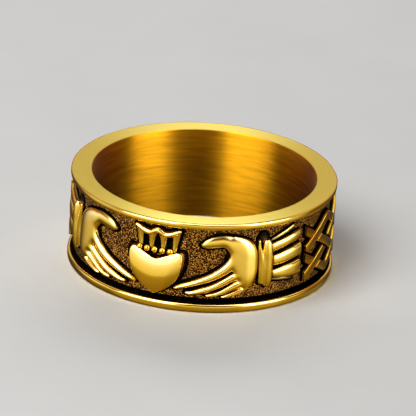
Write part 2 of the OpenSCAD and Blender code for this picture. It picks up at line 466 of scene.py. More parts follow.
@dataclass(frozen=True)
class BrushedGold:
    """Gold plate over steel that was turned against fine grit: its hair lines run round the ring."""

    name: str
    metal: str
    roughness: float
    anisotropy: float = 0.7
    # Hair lines of the grit, drawn coarser than the real 0.02 mm so that they show
    line_mm: float = 0.06
    line_length_mm: float = 2.5
    line_depth_mm: float = 0.002
    tone: float = 0.25

    def make(self) -> Material:
        """Builds the material and returns it."""
        material, g = new_material(self.name)
        place = g.add("TexCoord").outputs["Object"]
        axes = g.add("SeparateXYZ", {0: place}).outputs
        angle = g.add("Math", {0: axes[1], 1: axes[0]}, operation="ARCTAN2")
        flat = g.add("VectorMath", {0: place, 1: (1.0, 1.0, 0.0)}, operation="MULTIPLY")
        radius = g.add("VectorMath", {0: flat}, operation="LENGTH").outputs["Value"]
        squeeze = self.line_mm / self.line_length_mm
        along = g.add("Math", {0: angle, 1: 10 * MM * squeeze}, operation="MULTIPLY")
        line_place = g.add("CombineXYZ", {0: along, 1: radius, 2: axes[2]})
        lines = g.add("TexNoise", {"Vector": line_place, "Scale": 1 / (self.line_mm * MM), "Detail": 4.0})
        bump = g.add("Bump", {"Distance": self.line_depth_mm * MM, "Height": lines})
        shade = g.add("MapRange", {0: lines, 1: 0.3, 2: 0.7, 3: 1 - self.tone, 4: 1.0})
        colour = g.add("Mix", {0: shade, 6: (0, 0, 0, 1), 7: srgb(self.metal)}, data_type="RGBA").outputs[2]
        tangent = g.add("Tangent", direction_type="RADIAL", axis="Z")
        shader = g.add(
            "BsdfPrincipled",
            {
                "Base Color": colour,
                "Roughness": self.roughness,
                "Metallic": 1.0,
                "Anisotropic": self.anisotropy,
                # The light spreads across the hair lines, and they run along the tangent
                "Anisotropic Rotation": 0.25,
                "Normal": bump,
                "Tangent": tangent,
            },
        )
        g.add("OutputMaterial", {"Surface": shader})
        return material


@dataclass(frozen=True)
class StippledGold:
    """The sunk ground: gold punched all over with a fine beading tool, whose pits keep dark oxide."""

    name: str = "stippled_gold_ground"
    metal: str = "b4761c"
    worn: str = "f2a62c"
    oxide: str = "341c06"
    # The real punch marks are about 0.1 mm apart, and are drawn a little coarser so that they show
    pit_mm: float = 0.12
    pit_depth_mm: float = 0.02
    roughness: float = 0.45

    def make(self) -> Material:
        """Builds the material and returns it."""
        material, g = new_material(self.name)
        place = g.add("TexCoord").outputs["Object"]
        wobble = g.add("TexNoise", {"Vector": place, "Scale": 1 / (0.2 * MM), "Detail": 2.0})
        moved = g.add(
            "VectorMath",
            {0: wobble.outputs["Color"], 1: (0.12 * MM,) * 3, 2: place},
            operation="MULTIPLY_ADD",
        )
        pits = g.add("TexVoronoi", {"Vector": moved, "Scale": 1 / (self.pit_mm * MM)}, feature="F1")
        shallow = g.add(
            "MapRange", {0: pits, 1: 0.55, 2: 0.18, 3: 0.0, 4: 1.0}, interpolation_type="SMOOTHSTEP"
        )
        patch = g.add("TexNoise", {"Vector": place, "Scale": 1 / (0.35 * MM), "Detail": 3.0})
        wear = g.add("MapRange", {0: patch, 1: 0.4, 2: 0.62})
        metal = g.add(
            "Mix", {0: wear, 6: srgb(self.metal), 7: srgb(self.worn)}, data_type="RGBA"
        ).outputs[2]
        colour = g.add("Mix", {0: shallow, 6: srgb(self.oxide), 7: metal}, data_type="RGBA").outputs[2]
        bump = g.add("Bump", {"Distance": self.pit_depth_mm * MM, "Height": shallow})
        shader = g.add(
            "BsdfPrincipled",
            {"Base Color": colour, "Roughness": self.roughness, "Metallic": 1.0, "Normal": bump},
        )
        g.add("OutputMaterial", {"Surface": shader})
        return material


@dataclass(frozen=True)
class BlackOxide:
    """Black patina: an oxide lacquer wiped into the hollows, nearly black with a dull sheen."""

    name: str = "black_oxide_patina"
    colour: str = "0b0704"
    warm: str = "33200c"
    speck_mm: float = 0.25
    depth_mm: float = 0.01
    roughness: float = 0.5
    specular: float = 0.0

    def make(self) -> Material:
        """Builds the material and returns it."""
        material, g = new_material(self.name)
        place = g.add("TexCoord").outputs["Object"]
        speck = g.add("TexNoise", {"Vector": place, "Scale": 1 / (self.speck_mm * MM), "Detail": 4.0})
        tone = g.add("MapRange", {0: speck, 1: 0.52, 2: 0.75}, interpolation_type="SMOOTHSTEP")
        colour = g.add(
            "Mix", {0: tone, 6: srgb(self.colour), 7: srgb(self.warm)}, data_type="RGBA"
        ).outputs[2]
        bump = g.add("Bump", {"Distance": self.depth_mm * MM, "Height": speck})
        shader = g.add(
            "BsdfPrincipled",
            {
                "Base Color": colour,
                "Roughness": self.roughness,
                "Specular IOR Level": self.specular,
                "Normal": bump,
            },
        )
        g.add("OutputMaterial", {"Surface": shader})
        return material


@dataclass
class Finishes:
    """The ring's finishes, each made once."""

    mirror: Material = field(default_factory=lambda: PolishedGold("mirror_polished_gold_plate", 0.08).make())
    satin: Material = field(default_factory=lambda: PolishedGold("tumbled_gold_plate", 0.18).make())
    # The straps take a darker gold, and their oxide climbs higher up their walls: painted shade on the plait,
    # besides the oxide low in its hollows
    strap: Material = field(
        default_factory=lambda: PolishedGold(
            "polished_gold_strap", 0.2, metal="d89c1c", oxide_from_mm=10.9, oxide_to_mm=11.08
        ).make()
    )
    # The heart stands out most, so its wall is polished further down
    heart: Material = field(
        default_factory=lambda: PolishedGold(
            "mirror_polished_gold_heart", 0.08, oxide="4a2406", oxide_from_mm=10.68, oxide_to_mm=10.86
        ).make()
    )
    # The beads are set low; their darker gold and an oxide band that climbs over all but their crowns are painted
    # shade on their flanks, besides the oxide round their feet
    bead: Material = field(
        default_factory=lambda: PolishedGold(
            "polished_gold_beads", 0.16, metal="f0b024", oxide_from_mm=10.98, oxide_to_mm=11.16
        ).make()
    )
    rim: Material = field(
        default_factory=lambda: BrushedGold(
            "brushed_gold_rim_face", "f7d64c", 0.45, anisotropy=0.65, tone=0.06
        ).make()
    )
    # The bore takes a deeper, darker orange gold than the rest of the plate: painted shade for the inside of the
    # hole
    bore: Material = field(
        default_factory=lambda: BrushedGold(
            "brushed_gold_bore", "faa30c", 0.42, anisotropy=0.95, line_mm=0.26, line_length_mm=3, tone=0.34
        ).make()
    )
    ground: Material = field(default_factory=lambda: StippledGold().make())
    patina: Material = field(default_factory=lambda: BlackOxide().make())


def dress(obj: Object, *materials: Material) -> None:
    """Gives the piece its materials, shades it smooth and puts it on the ring's body."""
    obj.data.materials.clear()
    for material in materials:
        obj.data.materials.append(material)
    select_only(obj)
    bpy.ops.object.shade_smooth()
    deselect_all()
    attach(obj, BODY)
    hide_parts(NODE)
    LOG.info("%s: %d faces", obj.name, len(obj.data.polygons))


@dataclass
class Band:
    """The ring's wall with its bore, its two rims, the sunk field and the groove above the lower rim."""

    strip: Strip
    finishes: Finishes
    upper_rim_h: float = 0.55
    lower_rim_h: float = 0.76
    groove_h: float = 0.42
    groove_depth: float = 0.15
    upper_round: float = 0.13
    upper_under_round: float = 0.2
    lower_round: float = 0.26
    lower_top_round: float = 0.2
    # The lower rim's side faces down a little
    lower_lean_deg: float = 4
    bore_bevel: float = 0.07
    # The narrow facet between the upper face and its rounded edge
    facet: float = 0.1
    facet_tilt_deg: float = 76
    # A painted shadow right under the upper rim: a strip of the black patina that stands in for the rim's shade on
    # the ground
    painted_shadow_h: float = 0.14
    turns: int = 384
    round_steps: int = 7

    def corner(self, r: float, z: float, radius: float, start: float, end: float) -> list[Point]:
        """Returns an arc of the profile round (r, z), between two angles in degrees, anticlockwise."""
        steps = self.round_steps
        angles = [math.radians(start + (end - start) * k / steps) for k in range(steps + 1)]
        return [(r + radius * math.cos(a), z + radius * math.sin(a)) for a in angles]

    def profile(self) -> list[Point]:
        """Returns the closed cross section of the band as radii and heights, anticlockwise from the bore's foot."""
        s, low, high = self.strip, self.lower_rim_h, self.strip.width - self.upper_rim_h
        groove_top, groove_r = low + self.groove_h, s.field_r - self.groove_depth
        edge, crown, lean = self.lower_round, self.lower_top_round, self.lower_lean_deg
        under, top, tilt = self.upper_under_round, self.upper_round, math.radians(self.facet_tilt_deg)
        bevel = self.bore_bevel
        lean_in = math.tan(math.radians(lean)) * (low - edge - crown)
        top_z = s.width - top * math.sin(tilt) - self.facet * math.cos(tilt)
        facet_r = s.rim_r - top + top * math.cos(tilt) - self.facet * math.sin(tilt)
        return (
            self.corner(s.bore_r + bevel, bevel, bevel, 180, 270)
            + [(s.bore_r + 0.5, 0.0), (s.rim_r - edge - 0.1, 0.0)]
            + self.corner(s.rim_r - edge - lean_in, edge, edge, -90, -lean)
            + self.corner(s.rim_r - crown, low - crown, crown, -lean, 90)
            + [(groove_r, low), (groove_r, groove_top - 0.05), (s.field_r, groove_top)]
            + [(s.field_r, (groove_top + high) / 2), (s.field_r, high - self.painted_shadow_h), (s.field_r, high - 0.04)]
            + [(s.field_r + 0.04, high)]
            + self.corner(s.rim_r - under, high + under, under, -90, 0)
            + self.corner(s.rim_r - top, top_z, top, 0, self.facet_tilt_deg)
            + [(facet_r, s.width), (s.bore_r + bevel + 0.03, s.width)]
            + self.corner(s.bore_r + bevel, s.width - bevel, bevel, 90, 180)
            + [(s.bore_r, s.width / 2)]
        )

    def build(self) -> Object:
        """Spins the profile round the finger's axis and returns the band, in metres."""
        outline = self.profile()
        deselect_all()
        bpy.ops.mesh.primitive_circle_add(vertices=len(outline), radius=1, fill_type="NOTHING")
        obj = new_piece("band")
        edit_all(obj)
        place_vertices(obj, lambda i, _: (outline[i][0], 0, outline[i][1]))
        bpy.ops.mesh.spin(steps=self.turns, angle=2 * math.pi, center=(0, 0, 0), axis=(0, 0, 1))
        bpy.ops.mesh.select_all(action="SELECT")
        bpy.ops.mesh.remove_doubles(threshold=0.001)
        bpy.ops.mesh.normals_make_consistent(inside=False)
        bpy.ops.transform.resize(value=(MM, MM, MM), center_override=(0, 0, 0))
        deselect_all()
        return obj

    def face_finish(self, face: bpy.types.MeshPolygon) -> int:
        """Returns the number of the finish that a face of the band takes: polished, rim, bore, ground, or patina and
        painted shadow.
        """
        centre, normal = face.center / MM, face.normal
        radius = math.hypot(centre.x, centre.y)
        groove_top = self.lower_rim_h + self.groove_h
        if radius < self.strip.bore_r + self.bore_bevel * 0.6:
            return 2
        if abs(normal.z) > 0.98 and not 0.1 < centre.z < self.strip.width - 0.1:
            return 1
        if radius < self.strip.rim_r - 0.4 and self.lower_rim_h - 0.05 < centre.z < groove_top + 0.01:
            return 4
        if radius < self.strip.field_r + 0.01:
            # The strip right under the upper rim takes the black patina as a painted shadow of the rim
            in_painted_rim_shadow = centre.z > self.strip.width - self.upper_rim_h - self.painted_shadow_h
            return 4 if in_painted_rim_shadow else 3
        return 0

    def make(self) -> Object:
        """Builds and dresses the band."""
        f = self.finishes
        obj = self.build()
        dress(obj, f.mirror, f.rim, f.bore, f.ground, f.patina)
        for face in obj.data.polygons:
            face.material_index = self.face_finish(face)
        select_only(obj)
        bpy.ops.object.shade_smooth_by_angle(angle=math.radians(35))
        deselect_all()
        return obj


@dataclass
class Heart:
    """The polished heart between the hands: a heart-shaped block under a smooth dome."""

    strip: Strip
    caster: Caster
    finishes: Finishes
    width: float = 5.14
    height: float = 3.89
    foot_z: float = 1.33
    middle_z: float = 3.07
    middle_deg: float = 0.35
    crest: float = 0.79
    # The dome's radius up the band and its flatter one round the band
    dome_up: float = 5.2
    dome_across: float = 26
    # How fast the dome's middle climbs towards both lobes, in millimetres per square millimetre
    dome_rise: float = 0.17
    dome_cuts: int = 72
    soften: int = 8
    bed_margin: float = 0.24
    # The heart's wall leans in, so its top is these shares of its foot, across and up the band
    taper: Point = (0.84, 0.94)
    # Half of the outline from the tip to the cleft, as shares of half the width and of the height
    outline: tuple[Point, ...] = (
        (0, -0.005), (0.21, 0.055), (0.49, 0.17), (0.75, 0.325), (0.895, 0.48), (0.975, 0.65), (1, 0.8),
        (0.985, 0.9), (0.93, 0.975), (0.83, 1), (0.64, 0.97), (0.44, 0.915), (0.26, 0.87), (0.12, 0.83), (0, 0.815),
    )

    def edge(self, margin: float = 0.0) -> list[Point]:
        """Returns the heart's closed outline on the strip, moved outwards by about margin."""
        line = smooth_line(self.outline, 5)
        half = [(x * self.width / 2, self.foot_z + z * self.height) for x, z in line]
        whole = half[:-1] + [(-x, z) for x, z in reversed(half)][:-1]
        grown = 1 + 2 * margin / self.width
        middle_x = self.strip.arc(self.middle_deg)
        return [(middle_x + x * grown, self.middle_z + (z - self.middle_z) * grown) for x, z in whole]

    def block(self, name: str, margin: float, foot: float, crest: float, taper: Point = (1, 1)) -> Object:
        """Returns a block in the shape of the outline.

        Args:
            name: The block's name.
            margin: How far its outline lies outside the heart's.
            foot: Its foot above the ground.
            crest: Its top above the ground.
            taper: The top's width and height as shares of the foot's.

        Returns:
            The block, flat on the strip.
        """
        edge = self.edge(margin)
        middle = (self.strip.arc(self.middle_deg), 0, self.middle_z)
        ground = self.strip.ground_y
        deselect_all()
        bpy.ops.mesh.primitive_circle_add(vertices=len(edge), radius=1, fill_type="NGON")
        obj = new_piece(name)
        edit_all(obj)
        place_vertices(obj, lambda i, _: (edge[i][0], ground - foot, edge[i][1]))
        bpy.ops.mesh.extrude_region_move(TRANSFORM_OT_translate={"value": (0, foot - crest, 0)})
        bpy.ops.transform.resize(value=(taper[0], 1, taper[1]), center_override=middle)
        bpy.ops.mesh.select_all(action="SELECT")
        bpy.ops.mesh.normals_make_consistent(inside=False)
        deselect_all()
        return obj

    def dome_height(self, x: float, z: float) -> float:
        """Returns the dome's place along Y at a place of the strip."""
        aside = x - self.strip.arc(self.middle_deg)
        above = z - self.middle_z - self.dome_rise * aside * aside
        fall = self.dome_up - math.sqrt(max(self.dome_up**2 - above * above, 0))
        return self.strip.ground_y - self.crest + fall + aside * aside / (2 * self.dome_across)

    def build(self) -> Object:
        """Cuts the heart's block with a domed block, softens its edges and bends it round the band."""
        deselect_all()
        cuts = self.dome_cuts
        bpy.ops.mesh.primitive_grid_add(x_subdivisions=cuts, y_subdivisions=cuts, size=self.width * 1.2)
        domed = new_piece("dome_cutter")
        edit_all(domed)
        lift = self.middle_z
        place_vertices(domed, lambda _, co: (co.x, self.dome_height(co.x, co.y + lift), co.y + lift))
        bpy.ops.mesh.extrude_region_move(TRANSFORM_OT_translate={"value": (0, 4, 0)})
        bpy.ops.mesh.select_all(action="SELECT")
        bpy.ops.mesh.normals_make_consistent(inside=False)
        deselect_all()
        obj = self.block("heart", 0.06, -0.1, self.crest + 0.05, self.taper)
        apply_modifier(obj, "BOOLEAN", operation="INTERSECT", object=domed, solver="EXACT")
        bpy.data.objects.remove(domed)
        return self.caster.bend(self.caster.fuse("heart", [obj], soften=self.soften))

    def bed(self) -> Object:
        """Returns the flat black plate that shows round the heart."""
        return self.block("heart_bed", self.bed_margin, -0.2, 0.045)

    def make(self) -> None:
        """Builds and dresses the heart."""
        dress(self.build(), self.finishes.heart)


@dataclass
class Relief:
    """A cast form of the relief made of limbs, with a black bed round it."""

    strip: Strip
    caster: Caster
    name: str
    limbs: tuple[Limb, ...]
    finish: Material
    squareness: float = 2.2
    sides: int = 36
    tip: float = 0.1
    # The limbs are modelled this much wider on each edge, which softening takes off again
    swell: float = 0.03
    voxel: float = 0.04
    soften: int = 8
    # The first limbs, up to this many, are fused and softened before the others join them
    core: int = 0
    core_soften: int = 28
    # How often the form's broad top is smoothed, between which angles and above which heights
    calm: int = 0
    calm_from_deg: float = 28
    calm_to_deg: float = 46
    calm_low: float = 0.3
    calm_high: float = 0.46
    # How far the form leans back towards the upper rim, as a slope, round the band's middle height
    lean: float = 0.0
    bed_margin: float = 0.2
    bed_crest: float = 0.045
    extra_beds: tuple[Limb, ...] = ()
    both_sides: bool = True
    # How much further from the heart the left one lies than the right one
    left_shift_deg: float = 0.0

    def maker(self, limb: Limb) -> LimbMaker:
        """Returns the maker of one limb."""
        return LimbMaker(
            self.strip,
            limb.along,
            sides=self.sides,
            squareness=limb.squareness or self.squareness,
            tip=self.tip,
            swell=self.swell,
        )

    def flat(self) -> Object:
        """Builds the form flat on the strip, fused and softened."""
        limbs = [self.maker(limb).limb(f"{self.name}_limb", limb.slices) for limb in self.limbs]
        if self.core:
            core = self.caster.fuse(f"{self.name}_core", limbs[: self.core], self.voxel, self.core_soften)
            limbs = [core] + limbs[self.core :]
        obj = self.caster.fuse(self.name, limbs, self.voxel, self.soften)
        if self.calm:
            self.calm_top(obj)
        middle = self.strip.width / 2
        edit_all(obj)
        place_vertices(obj, lambda _, co: (co.x, co.y + self.lean * (co.z - middle), co.z))
        deselect_all()
        return obj

    def calm_top(self, obj: Object) -> None:
        """Smooths the broad top of the form and leaves its walls, so that the limbs in it flow together."""
        group = obj.vertex_groups.new(name="broad_top")
        start, end = self.strip.arc(self.calm_from_deg), self.strip.arc(self.calm_to_deg)
        for vertex in obj.data.vertices:
            height = self.strip.ground_y - vertex.co.y
            share = min((height - self.calm_low) / (self.calm_high - self.calm_low), vertex.co.x - start, 1)
            if share > 0 and vertex.co.x < end:
                group.add([vertex.index], share, "REPLACE")
        apply_modifier(obj, "SMOOTH", factor=0.5, iterations=self.calm, vertex_group=group.name)
        obj.vertex_groups.clear()

    def beds(self) -> list[Object]:
        """Returns the flat black plates under the limbs, and the further ones, on the strip."""
        margins = [(limb, self.bed_margin) for limb in self.limbs] + [(limb, 0.0) for limb in self.extra_beds]
        return [
            self.maker(limb).bed(f"{self.name}_bed", limb.slices, margin, self.bed_crest) for limb, margin in margins
        ]

    def left_of(self, obj: Object, name: str) -> Object:
        """Returns a mirror image of a flat piece, at its place on the left side."""
        twin = mirrored(obj, name)
        twin.data.transform(Matrix.Translation((-self.strip.arc(self.left_shift_deg), 0, 0)))
        return twin

    def make(self) -> None:
        """Builds, bends and dresses the form, and its mirror image where it has one."""
        right = self.flat()
        pieces = [right]
        if self.both_sides:
            right.name = right.data.name = f"{self.name}_{Side.RIGHT.name.lower()}"
            pieces.append(self.left_of(right, f"{self.name}_{Side.LEFT.name.lower()}"))
        for piece in pieces:
            dress(self.caster.bend(piece), self.finish)


def slices(*rows: Point) -> tuple[Slice, ...]:
    """Returns a limb's slices from rows of place, low edge, high edge and crest."""
    return tuple(Slice(*row) for row in rows)


THUMB = slices(
    (20.4, 5.85, 6.15, 0.28), (21.6, 5.76, 6.42, 0.38), (24.4, 5.74, 6.72, 0.44), (28.3, 5.8, 6.88, 0.47),
    (30.5, 5.8, 6.9, 0.5), (32.3, 5.4, 6.88, 0.53), (34, 4.9, 6.8, 0.55), (36.5, 4.5, 6.72, 0.54),
    (39, 4.4, 6.4, 0.4),
)
PALM = slices(
    (33.6, 4.3, 6.76, 0.52), (34.6, 3.62, 6.8, 0.54), (35.8, 3.1, 6.75, 0.56), (37, 2.8, 6.7, 0.58),
    (38.2, 2.4, 6.64, 0.6), (39.3, 2.2, 6.58, 0.61), (40.5, 2.12, 6.48, 0.62), (42, 2.22, 6.34, 0.61),
    (43.4, 2.5, 6.12, 0.58), (44.5, 2.9, 5.8, 0.52), (45.1, 3.3, 5.5, 0.45),
)
INDEX_FINGER = slices(
    (9.3, 1.9, 2.12, 0.24), (11, 1.97, 2.32, 0.32), (14, 2.12, 2.54, 0.37), (18.7, 2.42, 2.92, 0.41),
    (24, 2.73, 3.38, 0.44), (26.5, 2.92, 3.68, 0.46), (29.2, 3.16, 4.04, 0.48), (31.7, 3.42, 4.54, 0.5),
    (32.9, 3.56, 5.0, 0.51), (34.4, 3.7, 5.6, 0.52), (37, 3.5, 5.9, 0.52),
)
MIDDLE_FINGER = slices(
    (14.6, 1.62, 1.78, 0.24), (16.4, 1.57, 1.86, 0.32), (19, 1.6, 2.04, 0.37), (21.7, 1.7, 2.23, 0.4),
    (24.3, 1.86, 2.4, 0.42), (29.5, 2.32, 2.91, 0.45), (34.5, 2.8, 3.5, 0.5), (37, 2.95, 3.85, 0.56),
    (39, 3.0, 4.0, 0.5),
)
RING_FINGER = slices(
    (23.6, 1.45, 1.6, 0.22), (25.2, 1.43, 1.7, 0.3), (27.2, 1.47, 1.82, 0.34), (29.8, 1.66, 2.04, 0.39),
    (35, 2.05, 2.64, 0.46), (37, 2.16, 2.9, 0.51), (39.5, 2.3, 3.2, 0.56), (41, 2.5, 3.3, 0.5),
)
LITTLE_FINGER = slices(
    (30.4, 1.35, 1.48, 0.2), (31.8, 1.35, 1.6, 0.28), (35.3, 1.51, 1.88, 0.35), (38.1, 1.73, 2.12, 0.42),
    (40.8, 2.02, 2.5, 0.5), (42.5, 2.3, 2.9, 0.48),
)
# The palm, the thumb and the index finger are one soft form, and the other fingers are laid against it
HAND = (
    Limb(Along.ROUND, THUMB, squareness=2.5),
    Limb(Along.ROUND, PALM, squareness=4.4),
    Limb(Along.ROUND, INDEX_FINGER),
    Limb(Along.ROUND, MIDDLE_FINGER),
    Limb(Along.ROUND, RING_FINGER),
    Limb(Along.ROUND, LITTLE_FINGER),
)
HAND_CORE = 3
# The patina is wider above the index finger and in the crook of the thumb
HAND_BED = (
    Limb(Along.ROUND, slices((10, 2.1, 2.48, 0), (16, 2.5, 3, 0), (21.4, 2.9, 3.42, 0), (26.5, 3.4, 3.98, 0),
                             (29.4, 3.7, 4.36, 0), (30.6, 4.0, 4.7, 0), (31.6, 4.4, 5.4, 0), (33, 4.6, 5.8, 0))),
)

CUFF = (
    # The broad ridge
    Limb(Along.UP, slices((2.14, 49.3, 52.5, 0.44), (2.6, 48.9, 53.0, 0.54), (3.5, 48.6, 53.2, 0.6),
                          (4.5, 48.5, 53.1, 0.62), (5.3, 48.4, 52.8, 0.62), (5.95, 48.5, 52.3, 0.57),
                          (6.2, 48.9, 51.6, 0.46)), squareness=2.5),
    # The low slope in front of it, which parts from it towards the top
    Limb(Along.UP, slices((2.35, 47.0, 51.0, 0.32), (3.2, 46.6, 51.0, 0.36), (4.2, 46.4, 50.6, 0.37),
                          (4.9, 46.2, 49.0, 0.35), (5.6, 46.0, 47.4, 0.33), (6.2, 46.0, 46.8, 0.3))),
    # The low cap over both, which the polish doesn't reach
    Limb(Along.UP, slices((6.0, 45.8, 51.2, 0.09), (6.5, 46.0, 50.9, 0.1), (6.8, 46.9, 49.8, 0.08))),
)

SLEEVE = tuple(
    Limb(Along.ROUND, pleat)
    for pleat in (
        slices((52.6, 6.03, 6.18, 0.14), (56, 6.24, 6.45, 0.2), (60, 6.5, 6.73, 0.22), (64.6, 6.83, 7.05, 0.2)),
        slices((52.8, 5.2, 5.78, 0.4), (56, 5.28, 5.95, 0.43), (60, 5.42, 6.12, 0.45), (64, 5.66, 6.31, 0.45),
               (67.8, 5.92, 6.43, 0.4)),
        slices((53.8, 3.84, 4.68, 0.42), (57, 3.87, 4.8, 0.46), (60.4, 3.94, 4.95, 0.48), (64.5, 4.06, 5.1, 0.48),
               (68.8, 4.2, 5.23, 0.43)),
        slices((53.7, 2.84, 3.38, 0.4), (57, 2.66, 3.48, 0.44), (61, 2.52, 3.6, 0.46), (65, 2.47, 3.68, 0.46),
               (68.7, 2.48, 3.72, 0.41)),
        slices((53.4, 2.46, 2.61, 0.12), (58, 2.32, 2.5, 0.16), (62, 2.22, 2.4, 0.16), (65, 2.14, 2.28, 0.13)),
    )
)

CROWN_MIDDLE_DEG = 0.6
CROWN_BAND = ((0, 6.66, 7.22, 0.5), (1.8, 6.54, 7.08, 0.5), (3.7, 6.4, 6.88, 0.5), (6, 6.48, 6.98, 0.5),
              (8.3, 6.7, 7.14, 0.49), (10.4, 6.94, 7.22, 0.42))
# The bars widen at the top, so that the openings between them are arched
INNER_BAR = ((5.3, 1.65, 3.75, 0.28), (5.8, 1.5, 3.9, 0.3), (6.1, 1.3, 4.1, 0.32), (6.35, 0.9, 4.6, 0.34),
             (6.55, 0.3, 5.1, 0.34))
OUTER_BAR = ((5.2, 6.8, 8.6, 0.28), (5.8, 6.95, 9.2, 0.3), (6.2, 6.9, 9.6, 0.32), (6.5, 6.8, 9.9, 0.34),
             (6.75, 7.2, 10.2, 0.36), (6.98, 8.2, 10.5, 0.36))


def crown_limbs() -> tuple[Limb, ...]:
    """Returns the crown's limbs: its upper band from point to point, and two bars on each side."""
    middle = CROWN_MIDDLE_DEG
    right = [(middle + at, low, high, crest) for at, low, high, crest in CROWN_BAND]
    left = [(middle - at, low, high, crest) for at, low, high, crest in CROWN_BAND[:0:-1]]
    limbs = [Limb(Along.ROUND, slices(*left, *right))]
    for bar in (INNER_BAR, OUTER_BAR):
        right_bar = [(z, middle + low, middle + high, crest) for z, low, high, crest in bar]
        left_bar = [(z, middle - high, middle - low, crest) for z, low, high, crest in bar]
        limbs += [Limb(Along.UP, slices(*right_bar)), Limb(Along.UP, slices(*left_bar))]
    return tuple(limbs)


# The patina behind the beads and in the crown's openings
CROWN_BED = (Limb(Along.ROUND, slices((-7.8, 4.8, 6.7, 0), (0, 4.7, 6.8, 0), (7.6, 4.8, 6.7, 0))),)


@dataclass
class Beads:
    """The row of beads between the crown and the heart."""

    strip: Strip
    caster: Caster
    finishes: Finishes
    count: int = 5
    middle_deg: float = -0.45
    pitch_deg: float = 3.5
    radius: float = 0.29
    z: float = 5.18
    lift: float = 0.25
    facets: int = 32

    def make(self) -> None:
        """Models one bead, copies it along the row, and dresses the row."""
        start = self.middle_deg - self.pitch_deg * (self.count - 1) / 2
        deselect_all()
        bpy.ops.mesh.primitive_uv_sphere_add(
            segments=self.facets,
            ring_count=self.facets // 2,
            radius=self.radius,
            location=(self.strip.arc(start), self.strip.ground_y - self.lift, self.z),
        )
        bpy.ops.object.transform_apply(location=True, rotation=True, scale=True)
        row = [new_piece("bead")]
        for k in range(1, self.count):
            twin = copy_of(row[0], "bead")
            twin.data.transform(Matrix.Translation((self.strip.arc(k * self.pitch_deg), 0, 0)))
            row.append(twin)
        dress(self.caster.bend(join("crown_beads", row)), self.finishes.bead)


